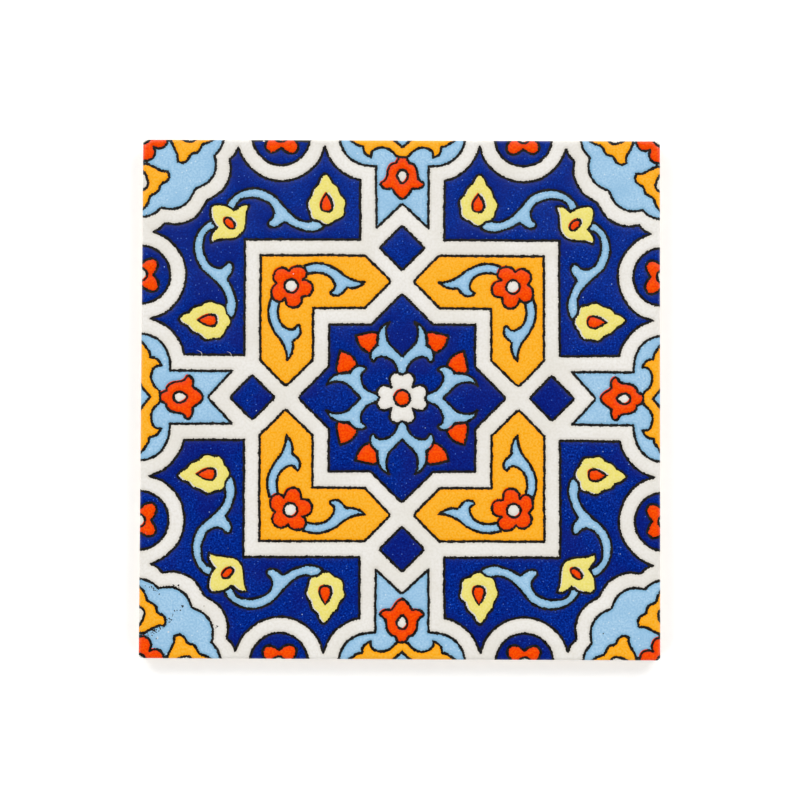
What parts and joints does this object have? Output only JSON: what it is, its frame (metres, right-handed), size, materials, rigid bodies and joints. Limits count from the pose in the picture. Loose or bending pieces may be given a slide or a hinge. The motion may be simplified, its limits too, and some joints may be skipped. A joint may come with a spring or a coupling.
{
  "type": "haft rang tile",
  "caption": "Square glazed ceramic wall tile with a traditional geometric star and floral design in coloured glazes, keyed back for bedding.",
  "frame": {"origin": "centre of the tile's back, in the plane of the keying ribs that it lies on", "axes": "+Z out of the decorated glazed face, +X to the right and +Y to the top of the design; the design looks the same after a quarter turn"},
  "size_m": [0.2, 0.2, 0.008],
  "materials": {
    "white_glaze": "gloss, opaque tin-white ground glaze",
    "biscuit": "matt fired clay body",
    "cobalt_glaze": "gloss, speckled cobalt blue",
    "sky_glaze": "gloss pale turquoise blue",
    "amber_glaze": "gloss amber yellow",
    "yellow_glaze": "gloss lemon yellow",
    "red_glaze": "gloss orange red",
    "outline": "satin manganese black line"
  },
  "bodies": {
    "root": {"tile": "white_glaze"}
  },
  "joints": []
}
